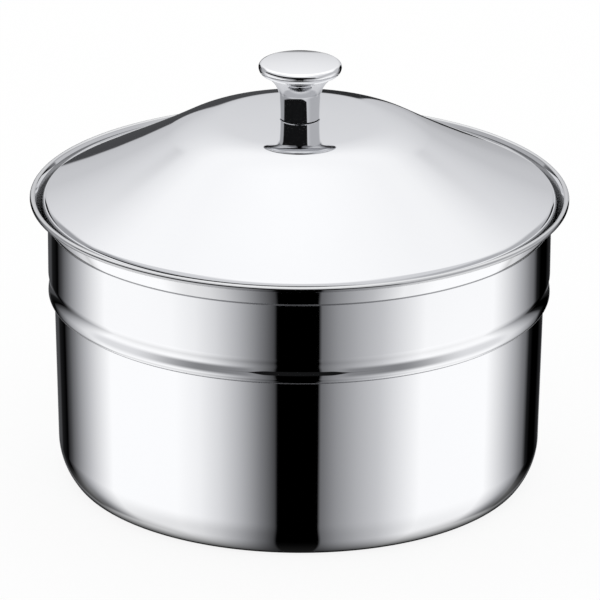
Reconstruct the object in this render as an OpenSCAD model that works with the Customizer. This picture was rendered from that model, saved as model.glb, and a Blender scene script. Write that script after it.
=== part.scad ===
// Round soup pot with a flared, rolled lip and a loose lift-off lid.
// Sizes are in millimetres, the base stands on z = 0 and the axis of the pot is Z.

/* [Pot] */
// Height of the pot, from the base to the top of the rolled lip
pot_h = 180; // [140:1:240]
// Diameter over the rolled lip
rim_d = 328.5; // [260:0.5:400]
// How far the lip stands out past the straight neck, on each side
flare_w = 10.75; // [9:0.25:15]
// How far the wall below the bead stands in from the neck, on each side
bead_step = 3.75; // [3:0.05:6]
// Thickness of the pot's sheet
pot_sheet = 1; // [0.6:0.1:1.5]
// Diameter of the rolled lip
lip_d = 3.5; // [3:0.1:5]
// Drop from the centre of the lip to the crease under the flare
flare_h = 13; // [12:0.5:18]
// Radius of the crease between the neck and the flare
flare_fillet = 2; // [1:0.5:4]
// Drop from the centre of the lip to the crease under the bead
bead_drop = 64.4; // [52:0.2:80]
// Angle that the sheet turns through under the bead
bead_turn = 80; // [60:1:88]
// Radius of the crease between the wall and the bead
bead_fillet = 1; // [0.6:0.1:1.6]
// Depth of the groove above the bead
groove_depth = 0.75; // [0.3:0.05:1.5]
// Height of the groove above the bead
groove_h = 13; // [8:0.5:20]
// Draft of the wall, in degrees from upright
wall_draft = 1.1; // [0:0.1:3]
// Radius of the sweep at the foot of the wall
sweep_r = 36.5; // [20:0.5:60]
// Angle that the sweep turns through
sweep_turn = 36; // [15:1:50]
// Radius of the corner between the sweep and the base
corner_r = 7; // [4:0.5:15]

/* [Lid] */
// Thickness of the lid's sheet
lid_sheet = 0.8; // [0.5:0.1:1.2]
// Clearance between the hem of the lid and the flare it sits in
lid_gap = 0.3; // [0.2:0.05:0.6]
// Height of the lid's edge, from the foot of its upright hem to the outer end of its flank
hem_h = 7.3; // [6.5:0.1:9]
// Height of the outer end of the lid's flank above the centre of the lip
edge_lift = 2; // [0:0.1:3]
// Width of the rounded edge between the flank and the hem
edge_w = 3.2; // [1.5:0.1:3.6]
// Height from the outer end of the flank to the flat seat under the knob
lid_rise = 47.7; // [38:0.1:62]
// Diameter of the gently domed crown, inside its rounded shoulder
crown_d = 97; // [80:0.5:120]
// How far the crown falls from the knob's seat to its shoulder
crown_fall = 0.7; // [0.3:0.05:3]
// Radius of the crown's rounded shoulder
shoulder_r = 68; // [40:1:85]
// How far the flank bows inwards from a straight cone, in degrees at its top
flank_bow = 3; // [1:0.5:10]
// Room around the knob on its flat seat
seat_room = 1; // [0.5:0.1:4]

/* [Knob] */
// Height of the knob, from its underside to the rim of its grip
knob_h = 35.1; // [30:0.1:50]
// Diameter of the grip
grip_d = 50.5; // [46:0.5:60]
// Thickness of the grip at its rounded rim
grip_t = 7.5; // [6:0.1:9]
// Radius of the rounding at the upper edge of the grip
grip_round = 2.8; // [2:0.1:4]
// Slope of the grip's domed top at its edge, in degrees
grip_slope = 5; // [2:0.5:10]
// Angle below level at which the rim of the grip runs into the stem
grip_turn = 65; // [50:1:80]
// Diameter of the stem at its lower end
stem_d = 24.3; // [20:0.1:27]
// How far the stem swells on each side, from its lower end to the grip's flare
stem_swell = 0.5; // [0.3:0.05:2]
// Size of the chamfer around the underside of the knob
foot_chamfer = 0.3; // [0.2:0.05:0.8]

/* [Fastening] */
// Diameter of the knob's screw
screw_d = 6; // [5:0.5:6]
// Length of the screw's thread inside the knob
thread_l = 12; // [8:1:16]
// Clearance on each side between the screw and its tapped hole
thread_gap = 0.05; // [0.02:0.01:0.1]
// Clearance on each side between the screw and the pieces that it passes through
screw_gap = 0.3; // [0.1:0.05:0.5]
// Depth left free above the end of the screw
tap_room = 3; // [1:0.5:5]
// How far the screw's head stands out past its shank, on each side
head_ledge = 3; // [2.4:0.1:4]
// Height of the screw's head
head_h = 4; // [3:0.1:5]
// Radius of the head's rounded edge
head_round = 2; // [1:0.1:2.6]
// Length of the cross slots in the head
slot_l = 6; // [4:0.1:7]
// Width of the cross slots
slot_w = 1.6; // [1:0.1:2]
// Depth of the cross slots
slot_depth = 2; // [1:0.1:2.4]
// How far the flat washer stands out past the screw, on each side
washer_ledge = 6; // [4:0.5:9]
// Thickness of the flat washer
washer_t = 1.6; // [1:0.1:2.5]
// Width of the spring washer's section
spring_w = 2.6; // [1.8:0.1:3]
// Thickness of the spring washer
spring_t = 1.6; // [1:0.1:2]
// Width of the cut in the spring washer
spring_cut = 1.2; // [0.6:0.1:2]
// Slant of the cut, in degrees from upright
spring_slant = 20; // [0:1:30]
// How far the seal stands in from the edge of the stem
seal_inset = 1.2; // [0.8:0.1:3]
// Thickness of the seal
seal_t = 0.4; // [0.3:0.1:1]

/* [Hidden] */
$fn = 180;
// Largest distance between a round stretch of an outline and its chords
arc_tol = 0.05;
// Points closer than this are one point
same_point = 0.00001;
// How far a cutter passes the face that it cuts
past = 1;
polished = "#c9ccd1";
zinc = "#b4b7b8";
rubber = "#3a3a3c";

// Outline points are [r, z, nr, nz]: a place, and the direction that faces away from the metal.
function at_angle(a) = [cos(a), sin(a)];
function spot(p, a) = [p[0], p[1], cos(a), sin(a)];
function place(p) = [p[0], p[1]];
function steps(r, turn) = max(2, ceil(abs(turn) / (2 * acos(1 - arc_tol / r))));
// Arc about c: side is 1 where the metal is on the centre's side, and -1 where it is not
function arc(c, r, from, to, side = 1) =
    let (n = steps(r, to - from))
    [for (i = [0:n]) let (a = from + (to - from) * i / n)
        [c[0] + r * cos(a), c[1] + r * sin(a), side * cos(a), side * sin(a)]];
function face(path) = [for (p = path) place(p)];
function back(path, t) =
    [for (i = [len(path) - 1:-1:0]) let (p = path[i]) [p[0] - t * p[2], p[1] - t * p[3]]];
function tidy(points) =
    [for (i = [0:len(points) - 1]) if (i == 0 || norm(points[i] - points[i - 1]) > same_point) points[i]];
module turned(points) rotate_extrude() polygon(tidy(points));

// Heights and radii of the pot
lip_r = lip_d / 2;
lip_c = [rim_d / 2 - lip_r, pot_h - lip_r];
neck_r = rim_d / 2 - flare_w;
body_r = neck_r - bead_step;
crease_z = lip_c[1] - bead_drop;
bead_r = bead_step / (1 - cos(bead_turn)) - bead_fillet;
bead_z = crease_z + (bead_fillet + bead_r) * sin(bead_turn);
groove_turn = 2 * atan(2 * groove_depth / groove_h);
groove_r = groove_h / 4 / sin(groove_turn);
groove_z = bead_z + groove_h / 2;

// The flare is a cone that leaves the neck and runs, with its inner face, into the top of the lip
flare_run = [lip_c[0] - neck_r, flare_h];
flare_a = atan2(flare_run[0], flare_run[1]) - asin((lip_r - pot_sheet) / norm(flare_run));
flare_n = at_angle(180 - flare_a);
neck_top = lip_c[1] - flare_h - flare_fillet * tan(flare_a / 2);
lip_start = acos((lip_r - pot_sheet) / lip_r) - 180 - flare_a;
lip_top = lip_c + lip_r * flare_n;
function flare_inside_r(z) = lip_top[0] - (lip_top[1] - z) * tan(flare_a);

// The foot of the wall: corner and sweep are tangent to each other, to the base and to the wall
sweep_c_z = corner_r + (sweep_r - corner_r) * sin(sweep_turn);
wall_foot_z = sweep_c_z - sweep_r * sin(wall_draft);
wall_foot_r = body_r - (crease_z - wall_foot_z) * tan(wall_draft);
sweep_c = [wall_foot_r - sweep_r * cos(wall_draft), sweep_c_z];
corner_c = sweep_c + (sweep_r - corner_r) * at_angle(-sweep_turn);

pot_outside = concat(
    [spot([0, 0], -90)],
    arc(corner_c, corner_r, -90, -sweep_turn),
    arc(sweep_c, sweep_r, -sweep_turn, -wall_draft),
    arc([body_r + bead_fillet, crease_z], bead_fillet, 180, 180 - bead_turn, -1),
    arc([neck_r - bead_r, bead_z], bead_r, -bead_turn, 0),
    arc([neck_r - groove_r, bead_z], groove_r, 0, groove_turn),
    arc([neck_r - groove_depth + groove_r, groove_z], groove_r, 180 + groove_turn, 180 - groove_turn, -1),
    arc([neck_r - groove_r, bead_z + groove_h], groove_r, -groove_turn, 0),
    arc([neck_r + flare_fillet, neck_top], flare_fillet, 180, 180 - flare_a, -1));
pot_lip = concat(
    arc(lip_c, lip_r, lip_start, 0),
    arc(lip_c, lip_r, 0, 90),
    arc(lip_c, lip_r, 90, 180 - flare_a));

// Heights and radii of the lid, from the flare that its hem sits in
edge_z = lip_c[1] + edge_lift;
hem_z = edge_z - hem_h;
lid_r = flare_inside_r(hem_z) - lid_gap / cos(flare_a);
edge_end = [lid_r - edge_w, edge_z];
seat_z = edge_z + lid_rise;
waist_r = stem_d / 2;
seat_r = waist_r + seat_room;
crown_turn = 2 * atan(crown_fall / (crown_d / 2 - seat_r));
crown_r = (crown_d / 2 - seat_r) / sin(crown_turn);
crest_c = [crown_d / 2, seat_z - crown_fall] - shoulder_r * at_angle(90 - crown_turn);

// The flank is an arc that leaves the shoulder and passes through the start of the rounded edge
flank_reach = edge_end - crest_c;
cone_a = asin(shoulder_r / norm(flank_reach)) - atan2(flank_reach[1], flank_reach[0]);
flank_top_a = cone_a + flank_bow;
flank_top = crest_c + shoulder_r * at_angle(90 - flank_top_a);
flank_chord = edge_end - flank_top;
flank_half = flank_top_a - atan2(-flank_chord[1], flank_chord[0]);
flank_end_a = flank_top_a - 2 * flank_half;
flank_r = norm(flank_chord) / (2 * sin(flank_half));
flank_c = flank_top + flank_r * at_angle(90 - flank_top_a);
edge_r = edge_w / (1 - sin(flank_end_a));
edge_c = edge_end - edge_r * at_angle(90 - flank_end_a);
shank_r = screw_d / 2;
screw_hole_r = shank_r + screw_gap;

lid_outside = concat(
    [spot([screw_hole_r, seat_z], 90)],
    arc([seat_r, seat_z - crown_r], crown_r, 90, 90 - crown_turn),
    arc(crest_c, shoulder_r, 90 - crown_turn, 90 - flank_top_a),
    arc(flank_c, flank_r, -90 - flank_top_a, -90 - flank_end_a, -1),
    arc(edge_c, edge_r, 90 - flank_end_a, 0),
    [spot([lid_r, hem_z], 0)]);

// Heights and radii of the knob, which stands on its seal in the middle of the crown
foot_z = seat_z + seal_t;
grip_z = foot_z + knob_h - grip_round;
grip_r = grip_t - grip_round;
grip_c = [grip_d / 2 - grip_r, grip_z];
round_c = [grip_d / 2 - grip_round, grip_z];
dome_edge = round_c + grip_round * at_angle(90 - grip_slope);
dome_r = dome_edge[0] / sin(grip_slope);

// The stem runs from its lower end into the flare, as arcs that are tangent to each other
flare_edge = grip_c + grip_r * at_angle(-grip_turn);
stem_flare_r = (flare_edge[0] - waist_r - stem_swell) / (1 - cos(grip_turn));
stem_flare_c = flare_edge + stem_flare_r * at_angle(-grip_turn);
stem_run = stem_flare_c - [waist_r, foot_z];
stem_r = (stem_run * stem_run - stem_flare_r * stem_flare_r) / (2 * (stem_run[0] - stem_flare_r));
stem_turn = atan2(stem_run[1], stem_run[0] - stem_r);
foot_turn = asin(foot_chamfer / stem_r);

// The screw's stack hangs below the crown
tap_r = shank_r + thread_gap;
head_r = shank_r + head_ledge;
screw_top = foot_z + thread_l;
tap_top = screw_top + tap_room;
washer_top = seat_z - lid_sheet;
spring_top = washer_top - washer_t;
head_top = spring_top - spring_t;
head_z = head_top - head_h;

module ring(outer_r, inner_r, bottom, height) {
    translate([0, 0, bottom]) difference() {
        cylinder(h = height, r = outer_r);
        translate([0, 0, -past]) cylinder(h = height + 2 * past, r = inner_r);
    }
}

module pot_shell() {
    color(polished) turned(concat(face(pot_outside), face(pot_lip), back(pot_outside, pot_sheet)));
}

module lid_shell() {
    color(polished) turned(concat(face(lid_outside), back(lid_outside, lid_sheet)));
}

module knob() {
    color(polished) turned(concat(
        [[tap_r, foot_z], [waist_r - foot_chamfer, foot_z]],
        face(arc([waist_r + stem_r, foot_z], stem_r, 180 - foot_turn, stem_turn)),
        face(arc(stem_flare_c, stem_flare_r, stem_turn, 180 - grip_turn)),
        face(arc(grip_c, grip_r, -grip_turn, 0)),
        face(arc(round_c, grip_round, 0, 90 - grip_slope)),
        face(arc([0, dome_edge[1] - dome_r * cos(grip_slope)], dome_r, 90 - grip_slope, 90)),
        [[0, tap_top], [tap_r, tap_top]]));
}

module knob_seal() {
    color(rubber) ring(waist_r - seal_inset, screw_hole_r, seat_z, seal_t);
}

module flat_washer() {
    color(polished) ring(shank_r + washer_ledge, screw_hole_r, spring_top, washer_t);
}

module spring_washer() {
    color(zinc) difference() {
        ring(tap_r + spring_w, tap_r, head_top, spring_t);
        translate([tap_r + spring_w / 2, 0, head_top + spring_t / 2]) rotate([spring_slant, 0, 0])
            cube([spring_w + 2 * past, spring_cut, spring_t + 2 * past], center = true);
    }
}

module knob_screw() {
    color(polished) difference() {
        turned(concat(
            [[0, head_z]],
            face(arc([head_r - head_round, head_z + head_round], head_round, -90, 0)),
            [[head_r, head_top], [shank_r, head_top], [shank_r, screw_top], [0, screw_top]]));
        for (turn = [0, 90])
            rotate(turn) translate([0, 0, head_z + slot_depth / 2 - past / 2])
                cube([slot_l, slot_w, slot_depth + past], center = true);
    }
}

pot_shell();
lid_shell();
knob();
knob_seal();
flat_washer();
spring_washer();
knob_screw();
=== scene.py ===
# %% [markdown]
# # A soup pot with a lift-off lid
#
# The real object is a polished steel soup pot of about eleven litres. It has a flared, rolled lip, a bead
# round its wall, a loose domed lid and a mushroom knob that is turned from one piece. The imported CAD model
# gives the bodies and the sizes, and this lesson dresses it: fine turned meshes, steel finishes, a studio
# and a camera. All outlines are written in millimetres and become metres when they are turned into meshes.

# %% Load the fixed frame
import math

import bpy
import numpy as np
from mathutils import Matrix


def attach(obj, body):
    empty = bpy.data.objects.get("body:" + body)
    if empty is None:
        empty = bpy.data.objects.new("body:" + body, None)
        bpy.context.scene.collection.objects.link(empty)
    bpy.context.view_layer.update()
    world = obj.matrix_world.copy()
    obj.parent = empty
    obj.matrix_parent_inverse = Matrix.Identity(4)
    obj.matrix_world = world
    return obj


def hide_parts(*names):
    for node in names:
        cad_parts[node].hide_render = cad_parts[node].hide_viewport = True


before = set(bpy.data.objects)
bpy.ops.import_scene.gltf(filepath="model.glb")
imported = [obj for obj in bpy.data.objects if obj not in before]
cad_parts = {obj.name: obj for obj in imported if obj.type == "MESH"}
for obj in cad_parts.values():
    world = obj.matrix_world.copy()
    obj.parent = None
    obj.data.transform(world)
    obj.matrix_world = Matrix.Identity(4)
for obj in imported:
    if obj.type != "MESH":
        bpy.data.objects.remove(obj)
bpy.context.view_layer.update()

# %% [markdown]
# ## Outlines that know which way they face
#
# Every piece of this pot is turned or spun about one axis, so its shape is a closed line of radius and
# height. A plain list of points would do, but a mirror finish shows every error in the shading normals. So
# each point of an outline also carries the direction that faces away from the metal, exact for arcs and
# straight lines. An outline runs anticlockwise round the metal, and straight stretches are filled in between
# its arcs.

# %% Arcs, straight stretches and offsets
MM = 0.001
ARC_STEP = 2.0
LEAST_SPANS = 3
LINE_STEP = 2.0
SAME_POINT = 1e-6


def polar(angle):
    """Unit direction at an angle in degrees."""
    return np.array([math.cos(math.radians(angle)), math.sin(math.radians(angle))])


def corner(radius, height, facing):
    """One outline point that faces a given way, in degrees from the outward direction."""
    return np.array([[radius, height, *polar(facing)]])


def arc(centre, radius, start, end, side=1):
    """Outline points on an arc; side is 1 where the metal is on the centre's side, and -1 where it is not."""
    count = max(LEAST_SPANS, math.ceil(abs(end - start) / ARC_STEP))
    angle = np.radians(np.linspace(start, end, count + 1))
    away = np.stack([np.cos(angle), np.sin(angle)], axis=1)
    return np.hstack([np.asarray(centre) + radius * away, side * away])


def straight(start, end):
    """Outline points on a straight stretch, which faces to the right of its travel."""
    step = end - start
    length = np.linalg.norm(step)
    share = np.linspace(0, 1, math.ceil(length / LINE_STEP) + 1)[:, None]
    facing = np.array([step[1], -step[0]]) / length
    return np.hstack([start + share * step, np.tile(facing, (len(share), 1))])


def other_side(parts, thickness):
    """The same stretches on the other face of a sheet, in the opposite order."""
    backwards = [run[::-1] for run in reversed(parts)]
    return [np.hstack([run[:, :2] - thickness * run[:, 2:], -run[:, 2:]]) for run in backwards]


def outline(parts):
    """Join the parts into one closed line, with straight stretches where two ends are apart."""
    runs = []
    for part, following in zip(parts, parts[1:] + parts[:1]):
        if len(part) > 1:
            runs.append(part)
        start = part[-1, :2]
        end = following[0, :2]
        on_axis = max(start[0], end[0]) < SAME_POINT
        if np.linalg.norm(end - start) > SAME_POINT and not on_axis:
            runs.append(straight(start, end))
    return runs


print("outline helpers ready, arc step", ARC_STEP, "degrees")

# %% [markdown]
# ## Turning an outline
#
# A Screw modifier can turn a line about an axis, but it shades with averaged normals. Here the rings are made
# in code and each face corner keeps the normal that its own stretch of the outline gives. Arcs then flow into
# straight walls without a ripple, and a sharp edge stays sharp without any bevel or split.

# %% From an outline to numbered rings
def ring_points(runs):
    """Number the outline's points and list its spans as pairs of numbered points with their normals."""
    places = []
    spans = []
    for run in runs:
        for start, end in zip(run[:-1], run[1:]):
            pair = []
            for point in (start, end):
                known = [i for i in (len(places) - 1, 0)
                         if places and np.linalg.norm(places[i] - point[:2]) < SAME_POINT]
                if not known:
                    places.append(point[:2])
                pair.append(known[0] if known else len(places) - 1)
            spans.append((*pair, start[2:], end[2:]))
    return places, spans


def mesh_piece(name, points, faces, normals, finishes, picks):
    """A smooth object with a normal for each face corner and one of the finishes picked for each face."""
    mesh = bpy.data.meshes.new(name)
    mesh.from_pydata(points, [], faces)
    for finish in finishes:
        mesh.materials.append(finish)
    mesh.polygons.foreach_set("material_index", picks)
    mesh.polygons.foreach_set("use_smooth", [True] * len(faces))
    mesh.normals_split_custom_set(normals)
    piece = bpy.data.objects.new(name, mesh)
    bpy.context.scene.collection.objects.link(piece)
    print(name, "points", len(points), "faces", len(faces))
    return piece


print("ring helpers ready")

# %% Turn the rings into a piece
SIDES = 288
SMALL_SIDES = 120


def turned(name, parts, finishes, sides=SIDES, finish_at=None):
    """Turn a closed outline about Z; finish_at picks a finish by a span's radius, height and facing."""
    places, spans = ring_points(outline(parts))
    angle = np.arange(sides) * 2 * math.pi / sides
    ring = np.stack([np.cos(angle), np.sin(angle)], axis=1)
    points = []
    first = []
    for radius, height in places:
        first.append(len(points))
        copies = ring if radius > SAME_POINT else ring[:1] * 0
        points.extend((radius * c * MM, radius * s * MM, height * MM) for c, s in copies)
    faces = []
    normals = []
    picks = []
    for i, j, facing_i, facing_j in spans:
        pick = 0
        if finish_at:
            middle = (places[i] + places[j]) / 2
            facing = (facing_i + facing_j) / 2
            pick = finishes.index(finish_at(*middle, *facing))
        for k in range(sides):
            after = (k + 1) % sides
            corners = [(i, k, facing_i), (i, after, facing_i), (j, after, facing_j), (j, k, facing_j)]
            if places[i][0] < SAME_POINT:
                del corners[0]
            elif places[j][0] < SAME_POINT:
                del corners[3]
            faces.append([first[p] + (t if places[p][0] > SAME_POINT else 0) for p, t, _ in corners])
            normals.extend((f[0] * ring[t, 0], f[0] * ring[t, 1], f[1]) for _, t, f in corners)
            picks.append(pick)
    return mesh_piece(name, points, faces, normals, finishes, picks)


def stand_for(piece, node, body):
    """Let a piece take the place of a CAD node on its body."""
    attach(piece, body)
    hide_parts(node)


print("turning ready,", SIDES, "sides, small pieces", SMALL_SIDES)

# %% [markdown]
# ## Shader maths as plain expressions
#
# A finish is a formula, such as a roughness that grows with fine lines. Built node by node it is hard to
# read. This class wraps one socket, so that 0.1 + 0.02 * lines adds the Math nodes by itself. All other nodes
# come from one method, which sets a node's settings first and then fills or links its sockets.

# %% A socket that can be used in sums
class Wire:
    """One output socket of a node tree."""

    def __init__(self, tree, socket=None):
        self.tree = tree
        self.socket = socket

    def node(self, kind, settings=None, inputs=None, output=0):
        """Add a node of any type, with its settings set first, then its sockets' values or links."""
        made = self.tree.nodes.new(kind)
        for name, value in (settings or {}).items():
            if name == "stops":
                ramp = made.color_ramp.elements
                while len(ramp) < len(value):
                    ramp.new(1.0)
                for element, (place, colour) in zip(ramp, value):
                    element.position = place
                    element.color = (*colour, 1.0)
            else:
                setattr(made, name, value)
        for name, value in (inputs or {}).items():
            if isinstance(value, Wire):
                self.tree.links.new(value.socket, made.inputs[name])
            else:
                made.inputs[name].default_value = value
        return Wire(self.tree, made.outputs[output] if made.outputs else None)

    def out(self, name):
        """Another output of the same node."""
        return Wire(self.tree, self.socket.node.outputs[name])

    def maths(self, operation, *values):
        """A Math node on this value and others."""
        return self.node("ShaderNodeMath", {"operation": operation}, dict(enumerate((self, *values))))

    def after(self, operation, first):
        """A Math node with this value in second place."""
        return self.node("ShaderNodeMath", {"operation": operation}, {0: first, 1: self})

    def __add__(self, other):
        return self.maths("ADD", other)

    __radd__ = __add__

    def __mul__(self, other):
        return self.maths("MULTIPLY", other)

    __rmul__ = __mul__

    def __sub__(self, other):
        return self.maths("SUBTRACT", other)

    def __rsub__(self, other):
        return self.after("SUBTRACT", other)

    def __truediv__(self, other):
        return self.maths("DIVIDE", other)

    def __rtruediv__(self, other):
        return self.after("DIVIDE", other)

    def __pow__(self, other):
        return self.maths("POWER", other)

    def __rpow__(self, other):
        return self.after("POWER", other)

    def rise(self, low, high, smooth=True):
        """From 0 at low to 1 at high, held level outside."""
        kind = "SMOOTHSTEP" if smooth else "LINEAR"
        return self.node("ShaderNodeMapRange", {"interpolation_type": kind},
                         {"Value": self, "From Min": low, "From Max": high})


def fresh_tree(owner):
    """Empty the node tree of a material or world and return a wire to start from."""
    owner.use_nodes = True
    owner.node_tree.nodes.clear()
    return Wire(owner.node_tree)


print("expressions ready")

# %% [markdown]
# ## Steel finishes
#
# Stainless steel gets its look from how it was worked. The pot, the lid and the knob are buffed to a mirror,
# the inside keeps a softer sheen, and all of them were spun, so faint lines run round the axis. A texture on
# unwrapped faces would need seams. The lines here are noise over radius and height, stretched along the turn,
# and a broad cloud of noise makes the buffing a little uneven. Both drive the roughness and a very fine bump.

# %% Noise for lathe lines and buffing
LINE_WANDER, LINE_DETAIL = 1.5, 3.0


def about_axis(wire):
    """The object's X and Y as wires, with the distance from the axis; Z is another output of X."""
    x = wire.node("ShaderNodeSeparateXYZ", inputs={
        "Vector": wire.node("ShaderNodeTexCoord", output="Object")})
    y = x.out("Y")
    return x, y, (x * x + y * y) ** 0.5


def lathe_lines(wire, per_metre):
    """Noise that is fine over radius and height and long round the axis."""
    x, y, radius = about_axis(wire)
    turn = y.maths("ARCTAN2", x)
    along = wire.node("ShaderNodeCombineXYZ", inputs={
        "X": turn * LINE_WANDER, "Y": radius * per_metre, "Z": x.out("Z") * per_metre})
    return wire.node("ShaderNodeTexNoise", inputs={"Vector": along, "Scale": 1.0, "Detail": LINE_DETAIL})


def cloud(wire, per_metre, detail=2.0):
    """Broad, soft noise."""
    spot = wire.node("ShaderNodeTexCoord", output="Object")
    return wire.node("ShaderNodeTexNoise", inputs={"Vector": spot, "Scale": per_metre, "Detail": detail})


print("noise helpers ready")

# %% One recipe for worked steel
BROAD_LINES, FINE_LINES = 1800.0, 5000.0
BUFFING_CLOUDS, BUFFED_TONE = 18.0, 0.985


def steel(name, colour, roughness, unevenness, line_share, line_depth, lines_per_metre=BROAD_LINES):
    """Metal with a base roughness, a cloudy part, a part from the lathe's lines and their depth in metres."""
    material = bpy.data.materials.new(name)
    wire = fresh_tree(material)
    lines = lathe_lines(wire, lines_per_metre)
    buffing = cloud(wire, BUFFING_CLOUDS)
    tone = wire.node("ShaderNodeMix", {"data_type": "RGBA"}, {
        0: buffing, 6: tuple(c * BUFFED_TONE for c in colour) + (1.0,), 7: (*colour, 1.0)}, output=2)
    rough = roughness + unevenness * (buffing - 0.5) + line_share * (lines - 0.5)
    relief = wire.node("ShaderNodeBump", inputs={"Strength": 1.0, "Distance": line_depth, "Height": lines})
    shader = wire.node("ShaderNodeBsdfPrincipled", inputs={
        "Base Color": tone, "Metallic": 1.0, "Roughness": rough, "Normal": relief})
    wire.node("ShaderNodeOutputMaterial", inputs={"Surface": shader})
    return material


print("steel recipe ready")

# %% [markdown]
# ## From mirror to painted shade
#
# Real steel is never equally bright, but most of the darker finishes here are painted shade. The inner bends,
# the hollow under the grip and the lid's hem with its seat in the flare get darker colours where shade falls,
# and the rolled lip gets a darker tone that stands in for its greyer reflections. The bends are also rougher.
# One metal with a painted mask could hold all that, but separate finishes are easier to tune, and each span
# of an outline simply takes one of them.

# %% Make the steel finishes
mirror_steel = steel("mirror_steel", (0.95, 0.953, 0.96), roughness=0.03, unevenness=0.015,
                     line_share=0.01, line_depth=2e-8)
lid_steel = steel("lid_steel", (0.78, 0.785, 0.8), roughness=0.045, unevenness=0.02,
                  line_share=0.015, line_depth=2e-8)
inside_steel = steel("inside_steel", (0.82, 0.825, 0.83), roughness=0.24, unevenness=0.06,
                     line_share=0.1, line_depth=3e-7)
# Painted shade: a darker colour for the hollow under the knob's grip, where shade falls.
hollow_shade_steel = steel("hollow_shade_steel", (0.64, 0.645, 0.66), roughness=0.07, unevenness=0.03,
                     line_share=0.02, line_depth=3e-8)
bright_steel = steel("bright_steel", (0.62, 0.62, 0.61), roughness=0.22, unevenness=0.08,
                     line_share=0.08, line_depth=4e-7, lines_per_metre=FINE_LINES)
# Painted shade: a dark colour for the lid's hem and its seat in the flare, where the gap between them lies in
# shade.
gap_shade_steel = steel("gap_shade_steel", (0.32, 0.323, 0.33), roughness=0.16, unevenness=0.06,
                   line_share=0.06, line_depth=2e-7)
# Painted shade: a darker tone on the rolled lip that stands in for its greyer reflections.
lip_shade_steel = steel("lip_shade_steel", (0.68, 0.683, 0.69), roughness=0.045, unevenness=0.02,
                  line_share=0.015, line_depth=2e-8)
# Painted shade: a dark colour in the pot's inner bends, with a rougher surface as well.
bend_shade_steel = steel("bend_shade_steel", (0.42, 0.425, 0.44), roughness=0.38, unevenness=0.06,
                   line_share=0.06, line_depth=2e-7)
zinc_plate = steel("zinc_plate", (0.55, 0.56, 0.57), roughness=0.38, unevenness=0.2,
                   line_share=0.05, line_depth=2e-7, lines_per_metre=FINE_LINES)
print("finishes", [m.name for m in bpy.data.materials])

# %% [markdown]
# ## Rubber for the seal
#
# The seal is a thin black ring. It could be one flat black, but that would look like a hole, so a fine grain
# breaks up its matt surface.

# %% Make the rubber
RUBBER_BLACK = (0.05, 0.05, 0.055, 1.0)
GRAINS_PER_METRE, GRAIN_DETAIL, GRAIN_DEPTH = 900.0, 3.0, 2e-5


def rubber(name):
    """Dark, matt rubber with a fine grain."""
    material = bpy.data.materials.new(name)
    wire = fresh_tree(material)
    grain = cloud(wire, GRAINS_PER_METRE, GRAIN_DETAIL)
    relief = wire.node("ShaderNodeBump", inputs={"Strength": 1.0, "Distance": GRAIN_DEPTH, "Height": grain})
    shader = wire.node("ShaderNodeBsdfPrincipled", inputs={
        "Base Color": RUBBER_BLACK, "Roughness": 0.6 + 0.2 * grain, "Normal": relief})
    wire.node("ShaderNodeOutputMaterial", inputs={"Surface": shader})
    return material


seal_rubber = rubber("seal_rubber")
print("finishes", len(bpy.data.materials))

# %% [markdown]
# ## The pot
#
# The real pot is one pressed sheet: a flat base, a swept corner, a wall with a little draft, a bead and a
# shallow groove that stiffen it, a straight neck that hangs in a counter opening, and a flare that ends in a
# rolled lip. Each bend is an arc that is tangent to its neighbours, so the sizes below are enough to work out
# all centres.

# %% Sizes of the pot
POT_H, RIM_R, FLARE_W, BEAD_STEP, POT_SHEET = 180.0, 164.25, 10.75, 3.75, 1.0
LIP_R, FLARE_H, FLARE_FILLET = 1.75, 13.0, 2.0
BEAD_DROP, BEAD_TURN, BEAD_FILLET = 64.4, 80.0, 1.0
GROOVE_DEPTH, GROOVE_H = 0.75, 13.0
WALL_DRAFT, SWEEP_R, SWEEP_TURN, CORNER_R = 1.1, 36.5, 36.0, 7.0


def sin(angle):
    """Sine of an angle in degrees."""
    return math.sin(math.radians(angle))


def cos(angle):
    """Cosine of an angle in degrees."""
    return math.cos(math.radians(angle))


def tan(angle):
    """Tangent of an angle in degrees."""
    return math.tan(math.radians(angle))


def slope(rise, run):
    """Angle of a run and its rise, in degrees."""
    return math.degrees(math.atan2(rise, run))


lip_c = np.array([RIM_R - LIP_R, POT_H - LIP_R])
neck_r = RIM_R - FLARE_W
body_r = neck_r - BEAD_STEP
crease_z = lip_c[1] - BEAD_DROP
print("neck radius", neck_r, "wall radius under the bead", body_r)

# %% Outline of the pot
bead_r = BEAD_STEP / (1 - cos(BEAD_TURN)) - BEAD_FILLET
bead_z = crease_z + (BEAD_FILLET + bead_r) * sin(BEAD_TURN)
groove_turn = 2 * slope(2 * GROOVE_DEPTH, GROOVE_H)
groove_r = GROOVE_H / 4 / sin(groove_turn)
lip_lift = LIP_R - POT_SHEET
flare_reach = math.hypot(lip_c[0] - neck_r, FLARE_H)
flare_a = slope(lip_c[0] - neck_r, FLARE_H) - math.degrees(math.asin(lip_lift / flare_reach))
neck_top = lip_c[1] - FLARE_H - FLARE_FILLET * tan(flare_a / 2)
lip_start = math.degrees(math.acos(lip_lift / LIP_R)) - 180 - flare_a
sweep_z = CORNER_R + (SWEEP_R - CORNER_R) * sin(SWEEP_TURN)
wall_foot_r = body_r - (crease_z - sweep_z + SWEEP_R * sin(WALL_DRAFT)) * tan(WALL_DRAFT)
sweep_c = np.array([wall_foot_r - SWEEP_R * cos(WALL_DRAFT), sweep_z])
corner_c = sweep_c + (SWEEP_R - CORNER_R) * polar(-SWEEP_TURN)
crease_c = (body_r + BEAD_FILLET, crease_z)
neck_top_c = (neck_r + FLARE_FILLET, neck_top)

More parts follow.
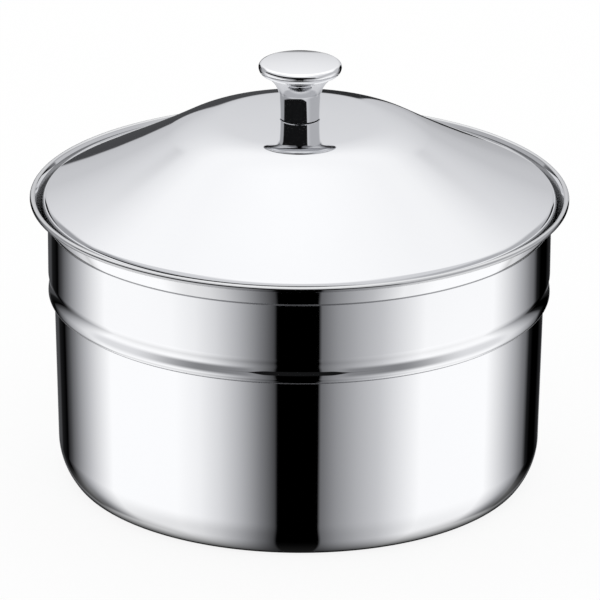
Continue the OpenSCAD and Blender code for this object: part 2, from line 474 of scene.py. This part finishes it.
pot_outside = [
    corner(0, 0, -90),
    arc(corner_c, CORNER_R, -90, -SWEEP_TURN),
    arc(sweep_c, SWEEP_R, -SWEEP_TURN, -WALL_DRAFT),
    arc(crease_c, BEAD_FILLET, 180, 180 - BEAD_TURN, -1),
    arc([neck_r - bead_r, bead_z], bead_r, -BEAD_TURN, 0),
    arc([neck_r - groove_r, bead_z], groove_r, 0, groove_turn),
    arc([neck_r - GROOVE_DEPTH + groove_r, bead_z + GROOVE_H / 2], groove_r,
        180 + groove_turn, 180 - groove_turn, -1),
    arc([neck_r - groove_r, bead_z + GROOVE_H], groove_r, -groove_turn, 0),
    arc(neck_top_c, FLARE_FILLET, 180, 180 - flare_a, -1),
]
pot_lip = arc(lip_c, LIP_R, lip_start, 180 - flare_a)
print("flare", round(flare_a, 2), "degrees, bead radius", round(bead_r, 2))

# %% Turn the pot
SEAT_DROP, LIP_SLACK, BEND_SLACK = 0.6, 0.1, 0.01
FACES_OUT, FACES_IN, FACES_UP = 0.5, -0.1, 0.2


def pot_finish(radius, height, facing_r, facing_z):
    """A mirror with painted shade in the bends and the lid's seat, a darker painted lip and a softer inside
    below.
    """
    here = (radius, height)
    for centre, bend_r in ((crease_c, BEAD_FILLET), (neck_top_c, FLARE_FILLET)):
        if abs(math.dist(here, centre) - bend_r) < BEND_SLACK:
            return bend_shade_steel
    if math.dist(here, lip_c) < LIP_R + LIP_SLACK:
        return lip_shade_steel
    if facing_r > FACES_OUT or (facing_r > FACES_IN and facing_z < FACES_UP):
        return mirror_steel
    if height < neck_top:
        return inside_steel
    if height < lip_c[1] - SEAT_DROP and facing_r < FACES_IN:
        return gap_shade_steel
    return mirror_steel


soup_pot = turned("soup_pot", pot_outside + [pot_lip] + other_side(pot_outside, POT_SHEET),
                  [mirror_steel, inside_steel, gap_shade_steel, lip_shade_steel, bend_shade_steel], finish_at=pot_finish)
stand_for(soup_pot, "pot_shell", "pot")

# %% [markdown]
# ## The lid
#
# The lid is spun from thinner sheet. An upright hem at its edge drops into the flare, a bowed flank climbs to
# a wide, rounded shoulder, and the crown is almost flat with a level seat for the knob. Its hem is placed
# from the flare, just as a maker would fit it, so the lid rests a hair above the cone that carries it. The
# surface has no step anywhere: all that seems to lie on the crown in a photograph is the knob's own mirror
# image.

# %% Sizes of the lid
LID_SHEET, LID_GAP, HEM_H, EDGE_LIFT, EDGE_W = 0.8, 0.3, 7.3, 2.0, 3.2
LID_RISE, CROWN_END, CROWN_FALL, SHOULDER_R, FLANK_BOW = 47.7, 48.5, 0.7, 68.0, 3.0
WAIST_R, SEAT_ROOM, SHANK_R, SCREW_GAP = 12.15, 1.0, 3.0, 0.3

edge_z = lip_c[1] + EDGE_LIFT
hem_z = edge_z - HEM_H
lip_top = lip_c + LIP_R * polar(180 - flare_a)
lid_r = lip_top[0] - (lip_top[1] - hem_z) * tan(flare_a) - LID_GAP / cos(flare_a)
edge_end = np.array([lid_r - EDGE_W, edge_z])
seat_z = edge_z + LID_RISE
seat_r = WAIST_R + SEAT_ROOM
hole_r = SHANK_R + SCREW_GAP
print("lid radius", round(lid_r, 2), "seat height", round(seat_z, 2))

# %% Outline of the lid
crown_turn = 2 * slope(CROWN_FALL, CROWN_END - seat_r)
crown_r = (CROWN_END - seat_r) / sin(crown_turn)
crest_c = np.array([CROWN_END, seat_z - CROWN_FALL]) - SHOULDER_R * polar(90 - crown_turn)
flank_reach = edge_end - crest_c
tangent_a = math.degrees(math.asin(SHOULDER_R / np.linalg.norm(flank_reach)))
cone_a = tangent_a - slope(flank_reach[1], flank_reach[0])
flank_top_a = cone_a + FLANK_BOW
flank_top = crest_c + SHOULDER_R * polar(90 - flank_top_a)
flank_chord = edge_end - flank_top
flank_half = flank_top_a - slope(-flank_chord[1], flank_chord[0])
flank_end_a = flank_top_a - 2 * flank_half
flank_r = np.linalg.norm(flank_chord) / (2 * sin(flank_half))
flank_c = flank_top + flank_r * polar(90 - flank_top_a)
edge_r = EDGE_W / (1 - sin(flank_end_a))

lid_top = [
    corner(lid_r, hem_z, 0),
    arc(edge_end - edge_r * polar(90 - flank_end_a), edge_r, 0, 90 - flank_end_a),
    arc(flank_c, flank_r, -90 - flank_end_a, -90 - flank_top_a, -1),
    arc(crest_c, SHOULDER_R, 90 - flank_top_a, 90 - crown_turn),
    arc([seat_r, seat_z - crown_r], crown_r, 90 - crown_turn, 90),
    corner(hole_r, seat_z, 90),
]
print("flank from", round(flank_end_a, 2), "to", round(flank_top_a, 2), "degrees")

# %% Spin the lid
HEM_FACING, UNDER_FACING = 0.97, -0.3


def lid_finish(radius, height, facing_r, facing_z):
    """The hem gets the dark seat finish, painted shade for the gap at the flare; the underside keeps the
    softer inside finish.
    """
    if facing_r > HEM_FACING:
        return gap_shade_steel
    return inside_steel if facing_z < UNDER_FACING else lid_steel


spun_lid = turned("spun_lid", lid_top + other_side(lid_top, LID_SHEET),
                  [lid_steel, inside_steel, gap_shade_steel], finish_at=lid_finish)
stand_for(spun_lid, "lid_shell", "lid")

# %% [markdown]
# ## The knob
#
# The knob is turned from bar in one piece, like a small mushroom. Its stem runs up from the lid and flares
# under the grip, the rim is rounded more below than above, and the top is domed so little that it looks flat.
# The stem is drawn with two arcs that are tangent to each other and to the rim, which is what a form tool
# leaves.

# %% Sizes and outline of the knob
KNOB_H, GRIP_R, GRIP_T, GRIP_ROUND, GRIP_SLOPE, GRIP_TURN = 35.1, 25.25, 7.5, 2.8, 5.0, 65.0
STEM_SWELL, FOOT_CHAMFER, SEAL_T = 0.5, 0.3, 0.4
THREAD_L, THREAD_GAP, TAP_ROOM = 12.0, 0.05, 3.0

foot_z = seat_z + SEAL_T
grip_z = foot_z + KNOB_H - GRIP_ROUND
under_r = GRIP_T - GRIP_ROUND
under_c = np.array([GRIP_R - under_r, grip_z])
round_c = np.array([GRIP_R - GRIP_ROUND, grip_z])
dome_edge = round_c + GRIP_ROUND * polar(90 - GRIP_SLOPE)
dome_r = dome_edge[0] / sin(GRIP_SLOPE)
flare_edge = under_c + under_r * polar(-GRIP_TURN)
stem_flare_r = (flare_edge[0] - WAIST_R - STEM_SWELL) / (1 - cos(GRIP_TURN))
stem_flare_c = flare_edge + stem_flare_r * polar(-GRIP_TURN)
stem_run = stem_flare_c - np.array([WAIST_R, foot_z])
stem_r = (stem_run @ stem_run - stem_flare_r ** 2) / (2 * (stem_run[0] - stem_flare_r))
stem_turn = slope(stem_run[1], stem_run[0] - stem_r)
foot_turn = math.degrees(math.asin(FOOT_CHAMFER / stem_r))
tap_r = SHANK_R + THREAD_GAP
tap_top = foot_z + THREAD_L + TAP_ROOM

knob_parts = [
    corner(tap_r, foot_z, -90),
    corner(WAIST_R - FOOT_CHAMFER, foot_z, -90),
    arc([WAIST_R + stem_r, foot_z], stem_r, 180 - foot_turn, stem_turn, -1),
    arc(stem_flare_c, stem_flare_r, stem_turn, 180 - GRIP_TURN, -1),
    arc(under_c, under_r, -GRIP_TURN, 0),
    arc(round_c, GRIP_ROUND, 0, 90 - GRIP_SLOPE),
    arc([0, dome_edge[1] - dome_r * cos(GRIP_SLOPE)], dome_r, 90 - GRIP_SLOPE, 90),
    corner(0, tap_top, -90),
    corner(tap_r, tap_top, -90),
]
print("stem radius", round(stem_r, 1), "rim of the grip at", round(dome_edge[1], 2))

# %% Turn the knob
HOLLOW_LOW, HOLLOW_HIGH = -0.9, -0.25


def knob_finish(radius, height, facing_r, facing_z):
    """The hollow under the grip gets a darker finish: painted shade where the grip shades the stem."""
    in_hollow = tap_top < height and HOLLOW_LOW < facing_z < HOLLOW_HIGH and radius < under_c[0]
    return hollow_shade_steel if in_hollow else mirror_steel


mushroom_knob = turned("mushroom_knob", knob_parts, [mirror_steel, hollow_shade_steel], SMALL_SIDES, knob_finish)
stand_for(mushroom_knob, "knob", "lid")

# %% [markdown]
# ## The fastening
#
# A screw holds the knob from below, with a flat washer and a spring washer under the lid and a thin seal
# above it. They show only when the lid is lifted. The seal and the flat washer are turned again with broken
# edges, while the screw and the cut washer keep the CAD model's own meshes and only get their finishes.

# %% Turn the seal and the flat washer
SEAL_INSET, WASHER_LEDGE, WASHER_T, RING_CHAMFER, SEAL_CHAMFER = 1.2, 6.0, 1.6, 0.25, 0.08


def flat_ring(inner, outer, low, high, chamfer):
    """Outline of a ring with a chamfer round its outer edges."""
    return [corner(inner, low, -90), corner(outer - chamfer, low, -90), corner(outer, low + chamfer, 0),
            corner(outer, high - chamfer, 0), corner(outer - chamfer, high, 90), corner(inner, high, 90)]


seal_parts = flat_ring(hole_r, WAIST_R - SEAL_INSET, seat_z, foot_z, SEAL_CHAMFER)
seal_ring = turned("seal_ring", seal_parts, [seal_rubber], SMALL_SIDES)
stand_for(seal_ring, "knob_seal", "lid")

washer_top = seat_z - LID_SHEET
washer_parts = flat_ring(hole_r, SHANK_R + WASHER_LEDGE, washer_top - WASHER_T, washer_top, RING_CHAMFER)
washer_ring = turned("washer_ring", washer_parts, [bright_steel], SMALL_SIDES)
stand_for(washer_ring, "flat_washer", "lid")

# %% Finish the screw and the cut washer
for node, finish, slot in (("knob_screw", bright_steel, "fastener_steel"),
                           ("spring_washer", zinc_plate, "spring_steel")):
    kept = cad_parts[node]
    kept.data.materials.clear()
    kept.data.materials.append(finish)
    print(node, "keeps its mesh with", finish.name)

# %% [markdown]
# ## The floor
#
# The pot stands free on a plain white sweep. A disc that is much wider than the view is enough. Its colour is
# pale and it takes the soft shadow under the pot. For the lens it also glows a little, as white paper does
# that is lit from below, so that the shadow stays light. Mirror finishes see the studio through it, as in a
# light tent, apart from a narrow dark ring round the foot: the contact shadow, which the polished foot of the
# pot mirrors. It is wider at the sides than in front.

# %% A finish for the floor
GLOW = 0.87
PAPER_DARK, PAPER_LIGHT, PAPER_CLOUDS = (0.975, 0.975, 0.975, 1.0), (0.985, 0.985, 0.985, 1.0), 2.0
WHITE, SHADE_BLACK = (1.0, 1.0, 1.0, 1.0), (0.01, 0.01, 0.01, 1.0)
FOOT_R, SHADE_FRONT, SHADE_SIDE, SHADE_SLANT, SHADE_FADE = 0.140, 0.1505, 0.170, 0.15, 1.7


def floor_finish():
    """A matt, almost white sweep that glows towards the lens and shows mirrors its contact shadow only."""
    material = bpy.data.materials.new("pale_sweep")
    wire = fresh_tree(material)
    grain = cloud(wire, PAPER_CLOUDS)
    tone = wire.node("ShaderNodeMix", {"data_type": "RGBA"}, {
        0: grain, 6: PAPER_DARK, 7: PAPER_LIGHT}, output=2)
    matt = wire.node("ShaderNodeBsdfPrincipled", inputs={
        "Base Color": tone, "Roughness": 1.0, "Specular IOR Level": 0.0})
    glow = wire.node("ShaderNodeEmission", inputs={"Color": WHITE, "Strength": 1.0})
    lens = wire.node("ShaderNodeLightPath", output="Is Camera Ray")
    paper = wire.node("ShaderNodeMixShader", inputs={0: GLOW * lens, 1: matt, 2: glow})
    _, y, radius = about_axis(wire)
    shade_end = (SHADE_SIDE + SHADE_SLANT * y).maths("MAXIMUM", SHADE_FRONT)
    shade = (1.0 - radius.rise(FOOT_R, shade_end, smooth=False)) ** SHADE_FADE
    clear = wire.node("ShaderNodeBsdfTransparent")
    dark = wire.node("ShaderNodeEmission", inputs={"Color": SHADE_BLACK, "Strength": 1.0})
    mirrored = wire.node("ShaderNodeMixShader", inputs={0: shade, 1: clear, 2: dark})
    shader = wire.node("ShaderNodeMixShader", inputs={0: lens.out("Is Glossy Ray"), 1: paper, 2: mirrored})
    wire.node("ShaderNodeOutputMaterial", inputs={"Surface": shader})
    return material


pale_sweep = floor_finish()
print("floor finish", pale_sweep.name)

# %% Lay the floor
FLOOR_R = 60.0
FLOOR_SIDES = 96

edge = [(FLOOR_R * math.cos(t), FLOOR_R * math.sin(t), 0.0)
        for t in np.linspace(0, 2 * math.pi, FLOOR_SIDES, endpoint=False)]
floor_mesh = bpy.data.meshes.new("floor")
floor_mesh.from_pydata(edge, [], [list(range(FLOOR_SIDES))])
floor_mesh.materials.append(pale_sweep)
floor = bpy.data.objects.new("floor", floor_mesh)
bpy.context.scene.collection.objects.link(floor)
print("floor radius", FLOOR_R)

# %% [markdown]
# ## The studio light
#
# Polished steel shows nothing but its surroundings, so the studio is what gives the pot its look. It could be
# built from cards and softboxes, but cards stand in the way of other views. Here the world is the light tent:
# white at the sides, a dark slit in front where the lens looks in, dark gaps behind, and a ceiling that
# brightens overhead. The camera sees plain white and matt surfaces get an even level of 1, so colours render
# as they are written.
#
# Two angles name a direction. Azimuth runs from the lens at 0 degrees to the back at 180, alike on the left
# and on the right, and elevation runs up from the horizon. Steeply down, azimuths are drawn towards the lens,
# so that the dark stripe on the front of the pot keeps its width down to the foot.

# %% Directions in the studio
DEGREES = 180 / math.pi
STEEP_DOWN = 0.358
SIDE_SEAM = 0.01

world = bpy.data.worlds.new("light_tent")
bpy.context.scene.world = world
sky = fresh_tree(world)
across = sky.node("ShaderNodeSeparateXYZ", inputs={
    "Vector": sky.node("ShaderNodeTexCoord", output="Generated")})
depth = across.out("Y")
height = across.out("Z")
below = (height * -1 - STEEP_DOWN).maths("MAXIMUM", 0.0)
azimuth = across.maths("ABSOLUTE").maths("ARCTAN2", depth * -1 + below * below) * DEGREES
elevation = height.maths("ARCSINE") * DEGREES
right = across.rise(-SIDE_SEAM, SIDE_SEAM)
print("studio directions ready")

# %% Greys and mixes
STUDIO = 1.27
POT_SHARE = 0.95
LID_SHARE = 0.785


def grey(level):
    """A slightly cool grey of a given level."""
    return (level * (0.97 + 0.03 * level), level * (0.985 + 0.015 * level), level * (1.05 - 0.05 * level))


def ramp(angle, low, high, share, stops):
    """Greys by an angle; the stops say how bright a metal looks that mirrors this share of the light."""
    place = angle.rise(low, high, smooth=False)
    greys = [((at - low) / (high - low), grey(shown / share / STUDIO)) for at, shown in stops]
    return sky.node("ShaderNodeValToRGB", {"stops": greys}, {"Fac": place})


def between(share, first, second):
    """Mix two colours."""
    return sky.node("ShaderNodeMix", {"data_type": "RGBA"}, {0: share, 6: first, 7: second}, output=2)


def by_side(left_value, right_value):
    """One value on the left of the studio and another on the right."""
    return left_value + right * (right_value - left_value)


def plain(level):
    """A grey as a socket's colour."""
    return (*grey(level), 1.0)


print("studio level", STUDIO)

# %% [markdown]
# ## Below the horizon
#
# The pot's wall is upright, so it mirrors what lies a little below the horizon all round: the slit in front,
# the white sides and the dark gaps behind. The swept corner and the bead look further down, where the ring
# dims a little and a pale table comes in at the back. The groove looks up to a grey strip beside the slit.

# %% A ring round the pot
left_ring = ramp(azimuth, 0, 180, POT_SHARE, [
    (0, 0.0), (9.8, 0.0), (11.2, 0.06), (18, 0.2), (28, 0.46), (38, 0.7), (48, 0.88), (60, 0.98),
    (100, 0.98), (120, 0.47), (132, 0.2), (140, 0.06), (146, 0.0), (156, 0.01), (160, 0.06), (180, 0.07)])
right_ring = ramp(azimuth, 0, 180, POT_SHARE, [
    (0, 0.0), (9.2, 0.0), (10.4, 0.14), (18, 0.28), (28, 0.43), (38, 0.56), (48, 0.75), (60, 0.97),
    (100, 0.98), (120, 0.47), (132, 0.2), (135.5, 0.15), (138.2, 0.07), (140.5, 0.01), (146, 0.0),
    (156, 0.0), (166, 0.02), (180, 0.03)])
ring = between(right, left_ring, right_ring)
dimmed = between(by_side(0.22, 0.12) * (1.0 - elevation.rise(-50, -22)), ring, plain(0.0))
low_grey = 0.13 * azimuth.rise(125, 140) * (1.0 - elevation.rise(-36, -26))
print("ring round the pot ready")

# %% The table and the strip
table = ramp(azimuth, 100, 180, POT_SHARE, [
    (100, 0.98), (138, 0.98), (146, 0.93), (154, 0.55), (161, 0.42), (180, 0.4)])
far_table = between(0.6 * elevation.rise(-36, -22), table, plain(0.02))
aside = 170.0 - azimuth
table_edge = (-0.72 * aside - 25.0).maths("MAXIMUM", -0.29 * aside - 35.5)
on_table = azimuth.rise(62, 90) * (1.0 - (elevation - table_edge).rise(1.5, 5))
floor_ring = between(on_table, between(low_grey, dimmed, plain(1.0)), far_table)
beside = azimuth.rise(14, 24) * (1.0 - azimuth.rise(100, 115))
strip_grey = between(azimuth.rise(42, 82), plain(0.18), plain(0.6))
floor_ring = between(beside * elevation.rise(-24, -7), floor_ring, strip_grey)
print("table and strip ready")

# %% [markdown]
# ## Above the horizon
#
# The lid faces up. Its front mirrors the ceiling, its crown the back wall, which brightens with height, and
# its flanks the greyer sides. Its far edge is seen so flat that it mirrors the horizon at the back, which
# dips on either side and so draws the dark wedges there. The rounded lip and the rim of the knob also mirror
# the front, where a dark gap surrounds the lens and reaches further round on the left.

# %% Behind and above
back_wall = ramp(elevation, -20, 90, LID_SHARE, [
    (-20, 0.36), (-10, 0.37), (-4, 0.42), (0, 0.48), (5, 0.52), (10, 0.54), (15, 0.6), (20, 0.65),
    (25, 0.69), (30, 0.74), (35, 0.79), (40, 0.86), (45, 0.92), (50, 0.94), (57, 0.94), (65, 0.96),
    (75, 0.98), (90, 0.98)])
shaded_wall = between(0.08 * across.maths("MAXIMUM", 0.0), back_wall, plain(0.0))
low_side = (1.0 - azimuth.rise(138, 154)) * (1.0 - elevation.rise(26, 36))
high_side = (1.0 - azimuth.rise(104, 122)) * (1.0 - elevation.rise(60, 78))
front_grey = between(azimuth.rise(30, 70), plain(0.58), between(right, plain(0.33), plain(0.42)))
front_grey = between(elevation.rise(32, 44), front_grey, plain(0.64))
walls = between(low_side.maths("MAXIMUM", high_side), shaded_wall, front_grey)
print("walls and ceiling ready")

# %% In front, where the lens looks in
gap_width = by_side(104.0, 42.0)
gap_top = 41.0 - 21.0 * (azimuth / gap_width) ** 2.0
gap_sides = by_side(1.0 - azimuth.rise(104, 110), 1.0 - azimuth.rise(41, 45))
front_gap = gap_sides * (1.0 - (elevation - gap_top).rise(-2, 2))
upper = between(front_gap, walls, plain(0.006))
left_horizon = 12.0 * azimuth.rise(167.5, 176) - 14.0 * azimuth.rise(152, 160)
right_horizon = 25.0 * azimuth.rise(174.5, 177.5) - 27.0 * azimuth.rise(152, 160)
horizon = 17.0 * azimuth.rise(118, 136) - 5.0 + 9.0 * beside + by_side(left_horizon, right_horizon)
tent = between((elevation - horizon).rise(-1.5, 1.5), floor_ring, upper)
print("front and horizon ready")

# %% Level for the lens and for matt surfaces
ray = sky.node("ShaderNodeLightPath", output="Is Glossy Ray")
seen = between(ray, WHITE, tent)
strength = 1.0 + (STUDIO - 1.0) * ray
background = sky.node("ShaderNodeBackground", inputs={"Color": seen, "Strength": strength})
sky.node("ShaderNodeOutputWorld", inputs={"Surface": background})
print("studio nodes", len(world.node_tree.nodes))

# %% [markdown]
# ## The camera
#
# The view looks down by about 21 degrees with a long lens, which keeps the ellipses of lip and base almost
# equally flat. The numbers come from fitting the lip's ellipse and the height of the pot in the picture.

# %% Place the camera
LENS, SENSOR, FAR_CLIP = 354.5, 36.0, 200.0
PITCH, YAW, ROLL = 90 - 20.98, -0.0102, 0.29
CAMERA_AT = (0.0, -3.3838, 1.4072)

camera = bpy.data.objects.new("camera", bpy.data.cameras.new("camera"))
camera.data.lens = LENS
camera.data.sensor_width = SENSOR
camera.data.clip_end = FAR_CLIP
camera.location = CAMERA_AT
turns = [Matrix.Rotation(math.radians(a), 3, axis) for a, axis in ((YAW, "Z"), (PITCH, "X"), (ROLL, "Z"))]
camera.rotation_euler = (turns[0] @ turns[1] @ turns[2]).to_euler()
bpy.context.scene.collection.objects.link(camera)
bpy.context.scene.camera = camera
bpy.context.scene.view_settings.view_transform = "Standard"
print("lens", LENS)
